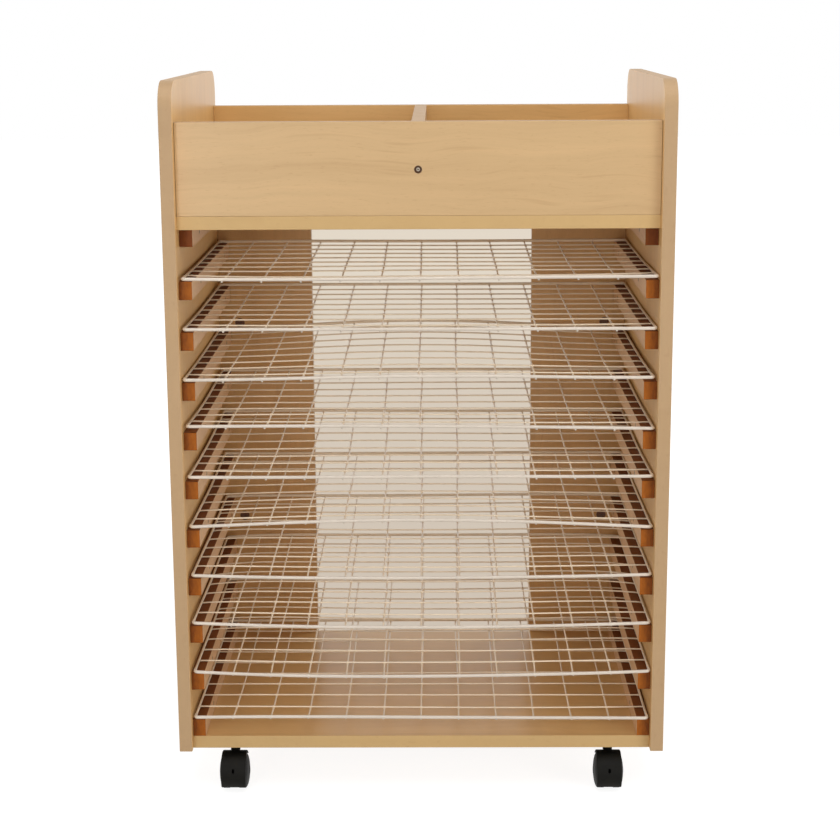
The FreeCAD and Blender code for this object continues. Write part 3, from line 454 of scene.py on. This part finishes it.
hood_mat, wheel_mat = caster_plastic(), wheel_plastic()
axle_mat = steel("axle_steel", lin(170, 168, 164), 0.32)
plate_mat = steel("black_plate", lin(26, 25, 22), 0.5, 0.4)
for corner in ("front_left", "front_right", "rear_left", "rear_right"):
    for part, material in (("hood", hood_mat), ("wheel_a", wheel_mat), ("wheel_b", wheel_mat),
                           ("axle", axle_mat), ("plate", plate_mat)):
        assign("caster_%s_%s" % (corner, part), material)


# ---------------------------------------------------------------- wire shelves
# all in mm
SHELF_HALF_X = 317.3          # centre of the side wires
SHELF_DEEP = 430.8            # centre of front wire to centre of rear wire
SHELF_FRONT_Y = -236.9        # centre of the front wire at rest
FRAME_R, SIDE_R, ROD_R, CROSS_R = 2.3, 1.7, 1.25, 1.1
BEND, BEND_STEPS = 5.0, 8     # corners of the frame
ROD_DROP, CROSS_DROP = -2.95, -0.8
RODS, CROSSES = 11, 8
CELL = SHELF_DEEP / (CROSSES + 1)
BASE_TOP, LEVEL_PITCH, RUNNER_H = 83, 69.1, 25
WIRE_REST = 2.4               # centre of a side wire above the runner's top
FRAME_STEP, WIRE_STEP = 13, 12
FRAME_SIDES, WIRE_SIDES = 14, 10
WELD_SWELL, WELD_LENGTH = 0.3, 2.1
WELD_MARKS, WELD_CLEAR = (-4.5, -2.6, -1.2, 0.0, 1.2, 2.6, 4.5), 5.0
DIP_REACH = 0.45 * CELL
RISE_REACH = 0.17             # of the shelf's depth
EDGE_SHARE = 0.4              # how much of the rise the side wires follow at the rear


def coated_wire():
    """White plastic coating on steel wire: soft orange-peel, faint yellowing and rub marks. The wires
    behind the front wire get a creamier copy of the coat: painted warm bounce light from the wood."""
    m = Mat("coated_wire")
    p = m.object_point()
    peel = m.noise(p, 1100, 2.0, 0.5)
    cloud = m.noise(p, 14, 3.0, 0.6)
    rub = m.range(m.noise(p, 75, 4.0, 0.7), 0.62, 0.80)
    front_coat = m.ramp(cloud, [(0.3, lin(206, 195, 182)), (0.7, lin(217, 206, 193))])
    rear_bounce_cream = m.ramp(cloud, [(0.3, lin(226, 207, 181)), (0.7, lin(238, 221, 196))])
    # wires behind the front wire: creamier, painted warm bounce light
    back = m.range(m.axis(p, "Y"), SHELF_FRONT_Y * MM + 0.003, SHELF_FRONT_Y * MM + 0.012)
    col = m.mix(back, front_coat, rear_bounce_cream)
    col = m.mix(m.math("MULTIPLY", rub, 0.35), col, lin(180, 163, 144))
    r = m.range(m.math("ADD", cloud, rub), 0.3, 1.2, 0.30, 0.5)
    return m.surface(col, r, m.bump(peel, 0.08, 0.00015), Coat_Weight=0.25, Coat_Roughness=0.25)


wire_mat = coated_wire()

# how each shelf has taken a set: lift of the front left, front right, rear left and rear right
# corners, rise of the middle at the front and at the rear, rise of the first cross wire against the
# front wire, rise of all the wires behind the front one, and where the shelf sits on its runners
# (across, in depth)
SET = {
    1: (2.3, 4.0, 1.0, 1.0, -1.0, 0.0, -2.1, 0.0, 1.5, -3.0),
    2: (2.7, 2.4, 1.8, 1.8, -0.25, 0.0, -1.2, 0.0, 1.1, 0.0),
    3: (2.6, 4.6, 1.0, 1.0, 3.4, 12.5, -1.6, 0.0, -1.0, 0.0),
    4: (6.8, 2.4, 3.0, 3.0, 1.6, 0.0, -2.3, 0.0, 0.7, 3.0),
    5: (4.7, 4.7, 5.0, 5.0, 0.1, 0.8, -1.1, 0.0, 1.0, 3.0),
    6: (3.4, 2.0, 5.4, 5.4, 9.0, 0.0, -2.8, 0.0, 1.1, 3.0),
    7: (2.7, 3.0, 1.0, 1.0, -4.7, -2.2, 0.0, 5.2, 1.5, 3.0),
    8: (3.9, 3.0, 1.0, 1.0, -6.3, -0.8, 0.0, 8.2, 0.9, 0.0),
    9: (2.5, 2.5, 1.0, 1.0, -7.5, -3.4, 1.0, 6.0, 1.5, -3.0),
    10: (4.1, 2.1, 2.4, 2.4, 1.35, 0.0, -1.6, 0.0, 0.2, -3.0),
}


def tube(verts, faces, path, radii, sides, closed=False):
    """Adds a round tube along path to verts and faces, with rounded ends unless closed."""
    pts, rad = list(path), list(radii)
    if not closed:
        for end, step in ((0, 1), (-1, -1)):
            tip, r = pts[end], rad[end]
            d = (tip - pts[end + step]).normalized()
            cap = [(tip + d * r * math.sin(a), r * math.cos(a)) for a in (0.5, 1.0, 1.4)]
            for p, q in cap:
                pts.insert(0 if end == 0 else len(pts), p)
                rad.insert(0 if end == 0 else len(rad), q)
    n = len(pts)
    tangents = []
    for i in range(n):
        a = pts[(i - 1) % n] if closed or i > 0 else pts[0]
        b = pts[(i + 1) % n] if closed or i < n - 1 else pts[-1]
        tangents.append((b - a).normalized())
    up = Vector((0, 0, 1))
    base = len(verts)
    for i in range(n):
        t = tangents[i]
        side = t.cross(up).normalized()
        top = side.cross(t).normalized()
        for s in range(sides):
            a = 2 * math.pi * s / sides
            verts.append(pts[i] + side * (math.cos(a) * rad[i]) + top * (math.sin(a) * rad[i]))
    for i in range(n if closed else n - 1):
        row, after = base + i * sides, base + (i + 1) % n * sides
        for s in range(sides):
            t = (s + 1) % sides
            faces.append((row + s, row + t, after + t, after + s))
    if not closed:
        faces.append(tuple(base + s for s in reversed(range(sides))))
        faces.append(tuple(base + (n - 1) * sides + s for s in range(sides)))


def shelf_lift(k, x, y, wobble):
    """How far shelf k is bent up off its runners, mm; x from the middle, y from the front wire. The
    side wires come down to the runners halfway back. Shelf 3 is bent up late and in a narrow hump."""
    front_l, front_r, rear_l, rear_r, bow_f, bow_r, dip, rise = SET[k][:8]
    t = min(1.0, max(0.0, y / SHELF_DEEP))
    v = min(1.0, max(-1.0, x / SHELF_HALF_X))
    front = front_l + (front_r - front_l) * (v + 1) / 2
    rear = rear_l + (rear_r - rear_l) * (v + 1) / 2
    lift = front * max(0.0, 1 - t / 0.5) ** 1.5 + rear * max(0.0, (t - 0.5) / 0.5) ** 1.5
    blend = t * t * (3 - 2 * t) if k == 3 else t
    bow = bow_f * (1 - blend) + bow_r * blend
    hump = (1 - v * v) ** (2.0 if k == 3 else 1.0)
    near = math.exp(-((y - CELL) / DIP_REACH) ** 2)
    up = rise * (1 - math.exp(-t / RISE_REACH))
    edge = EDGE_SHARE * up * abs(1 - 2 * t)
    inner = (wobble(x, y) + dip * near) * (1 - v ** 4) + (up - edge) * (1 - v ** 8)
    return lift + edge + bow * hump + inner


def wire(verts, faces, line, joints, r, start, stop):
    """Adds a straight wire along line from start to stop, thicker where the coating has run into a
    joint."""
    marks = set()
    for j in joints:
        for d in WELD_MARKS:
            if start <= j + d <= stop:
                marks.add(round(j + d, 3))
    steps = int((stop - start) / WIRE_STEP)
    for s in range(steps + 1):
        v = start + (stop - start) * s / steps
        if all(abs(v - j) > WELD_CLEAR for j in joints) or s in (0, steps):
            marks.add(round(v, 3))
    pts, rad = [], []
    for v in sorted(marks):
        swell = max(math.exp(-((v - j) / WELD_LENGTH) ** 2) for j in joints)
        pts.append(line(v))
        rad.append((r + WELD_SWELL * swell) * MM)
    tube(verts, faces, pts, rad, WIRE_SIDES)


def make_shelf(k):
    """Wire shelf number k, counted from the top, with its set, in place of the straight one."""
    rng = random.Random(700 + k)
    spans = ((0.004, 0.012), (0.004, 0.014), (0, 6.3), (0.15, 0.45))
    waves = [tuple(rng.uniform(lo, hi) for lo, hi in spans) for _ in range(3)]

    def wobble(x, y):
        return sum(h * math.sin(a * x + b * y + c) for a, b, c, h in waves)

    shift_x, shift_y = SET[k][8:]
    base_z = BASE_TOP + (LEVELS - k) * LEVEL_PITCH + RUNNER_H + WIRE_REST
    verts, faces = [], []

    def at(x, y, drop):
        z = base_z + shelf_lift(k, x, y, wobble) + drop
        return Vector((x + shift_x, SHELF_FRONT_Y + shift_y + y, z)) * MM

    # frame
    ring = []
    hx, hy, b = SHELF_HALF_X, SHELF_DEEP, BEND
    for cx, cy, a0 in ((hx - b, b, -90), (hx - b, hy - b, 0), (-hx + b, hy - b, 90), (-hx + b, b, 180)):
        for i in range(BEND_STEPS + 1):
            a = math.radians(a0 + 90 * i / BEND_STEPS)
            ring.append((cx + b * math.cos(a), cy + b * math.sin(a)))
    path, thick = [], []
    for i, (x, y) in enumerate(ring):
        x2, y2 = ring[(i + 1) % len(ring)]
        steps = max(1, round(math.hypot(x2 - x, y2 - y) / FRAME_STEP))
        for s in range(steps):
            px, py = x + (x2 - x) * s / steps, y + (y2 - y) * s / steps
            # the side wires are thinner than the front and rear ones
            inset = min(py, hy - py)
            side = min(1.0, max(0.0, (inset - 2) / 10)) if abs(px) > hx - 1 else 0.0
            path.append(at(px, py, 0))
            thick.append((FRAME_R + (SIDE_R - FRAME_R) * side) * MM)
    tube(verts, faces, path, thick, FRAME_SIDES, closed=True)
    # straight wires
    rod_x = [-hx + (i + 1) * 2 * hx / (RODS + 1) for i in range(RODS)]
    cross_y = [(i + 1) * hy / (CROSSES + 1) for i in range(CROSSES)]
    rod_skew = [rng.uniform(-1.0, 1.0) for _ in rod_x]
    cross_skew = [rng.uniform(-0.8, 0.8) for _ in cross_y]
    for x, skew in zip(rod_x, rod_skew):
        # on the upper shelves the rods' ends show under the front wire
        over = rng.uniform(0.2, 0.6) if k < 6 else rng.uniform(-1.6, -1.0)
        wire(verts, faces, lambda v, x=x, q=skew: at(x + q * math.sin(v * 0.012), v, ROD_DROP),
             [0.0] + cross_y + [hy], ROD_R, -over + ROD_R * 0.6, hy + over - ROD_R * 0.6)
    for y, skew in zip(cross_y, cross_skew):
        wire(verts, faces, lambda v, y=y, q=skew: at(v, y + q * math.sin(v * 0.009), CROSS_DROP),
             [-hx] + rod_x + [hx], CROSS_R, -hx, hx)
    mesh = bpy.data.meshes.new("wire_shelf_%02d_bent" % k)
    mesh.from_pydata([tuple(v) for v in verts], [], faces)
    mesh.polygons.foreach_set("use_smooth", [True] * len(mesh.polygons))
    mesh.update()
    mesh.materials.append(wire_mat)
    o = bpy.data.objects.new("shelf_%02d_wires" % k, mesh)
    scene.collection.objects.link(o)
    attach(o, "shelf_%02d" % k)
    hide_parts("wire_shelf_%02d" % k)


for k in range(1, LEVELS + 1):
    make_shelf(k)


# ---------------------------------------------------------------- floor, backdrop colour, light
WHITE = (1, 1, 1, 1)
DAYLIGHT = (1.0, 0.985, 0.96)
AIR_LIGHT = 0.42
FLOOR_HALF, FLOOR_Z = 14.0, -0.0005
STRIP_IN, STRIP_OUT = 0.068, 0.092       # soft edge of the strip: half its width over its distance
STRIP_START, STRIP_FULL = 0.18, 0.45     # where it fades in behind the cabinet, m


def make_floor():
    """White studio floor. Behind the cabinet lies a painted shadow: a warm grey glowing band that widens
    away from it.
    """
    m = Mat("studio_floor")
    p = m.axes(m.object_point())
    depth = m.math("SUBTRACT", p[1], CAM_AT[1])
    ratio = m.math("DIVIDE", m.math("ABSOLUTE", p[0]), depth)
    wedge = m.range(ratio, STRIP_IN, STRIP_OUT, 1.0, 0.0, smooth=True)
    behind = m.range(p[1], STRIP_START, STRIP_FULL, smooth=True)
    wedge = m.math("MULTIPLY", wedge, behind)
    # the band's tone, darker near the cabinet: painted shadow
    fade = m.range(p[1], 0.3, 5.5)
    painted_shadow_tone = m.mix(fade, lin(206, 193, 178), lin(227, 216, 200))
    diffuse = m.node("ShaderNodeBsdfDiffuse", Color=(0.86, 0.85, 0.83, 1)).outputs[0]
    shadow = m.node("ShaderNodeBsdfDiffuse", Color=(0.30, 0.30, 0.30, 1)).outputs[0]
    away = m.vmath("LENGTH", m.object_point())
    level = m.range(away, 0.7, 2.6, 0.88, 1.0, smooth=True)
    glow = m.node("ShaderNodeEmission", Color=WHITE, Strength=level).outputs[0]
    white = m.node("ShaderNodeAddShader", i0=shadow, i1=glow).outputs[0]
    strip = m.node("ShaderNodeEmission", Color=painted_shadow_tone, Strength=1.0).outputs[0]
    look = m.node("ShaderNodeMixShader", i0=wedge, i1=white, i2=strip).outputs[0]
    m.finish(m.node("ShaderNodeMixShader", i0=m.shown(), i1=diffuse, i2=look).outputs[0])
    mesh = bpy.data.meshes.new("floor")
    s = FLOOR_HALF
    mesh.from_pydata([(-s, -s, 0), (s, -s, 0), (s, s, 0), (-s, s, 0)], [], [(0, 1, 2, 3)])
    mesh.materials.append(m.mat)
    o = bpy.data.objects.new("floor", mesh)
    o.location.z = FLOOR_Z
    scene.collection.objects.link(o)


make_floor()


def make_world():
    """Even daylight from all round, and plain white where the world itself is seen."""
    world = bpy.data.worlds.new("studio")
    scene.world = world
    world.use_nodes = True
    w = Nodes(world.node_tree, "ShaderNodeOutputWorld")
    white = w.node("ShaderNodeBackground", Color=WHITE, Strength=1.0).outputs[0]
    air = w.node("ShaderNodeBackground", Color=DAYLIGHT + (1,), Strength=AIR_LIGHT).outputs[0]
    w.finish(w.node("ShaderNodeMixShader", i0=w.shown(), i1=air, i2=white).outputs[0])


make_world()


def area(name, at, aim, size, watts):
    data = bpy.data.lights.new(name, "AREA")
    data.shape = "RECTANGLE"
    data.size, data.size_y = size
    data.energy = watts
    data.color = DAYLIGHT
    o = bpy.data.objects.new(name, data)
    o.location = at
    o.rotation_euler = (Vector(aim) - Vector(at)).to_track_quat("-Z", "Y").to_euler()
    scene.collection.objects.link(o)


area("left_box", (-1.15, -3.1, 1.05), (0, 0, 0.55), (0.5, 0.8), 15)
area("right_box", (2.7, -3.0, 1.05), (0, 0, 0.55), (1.6, 1.4), 37)
area("top_box", (0.05, -1.0, 2.9), (0, 0, 0.6), (2.2, 2.2), 34)
for side, x in (("left", -2.6), ("right", 2.6)):
    area("back_%s_box" % side, (x, 2.3, 1.7), (0, 0, 0.5), (1.4, 1.4), 22)
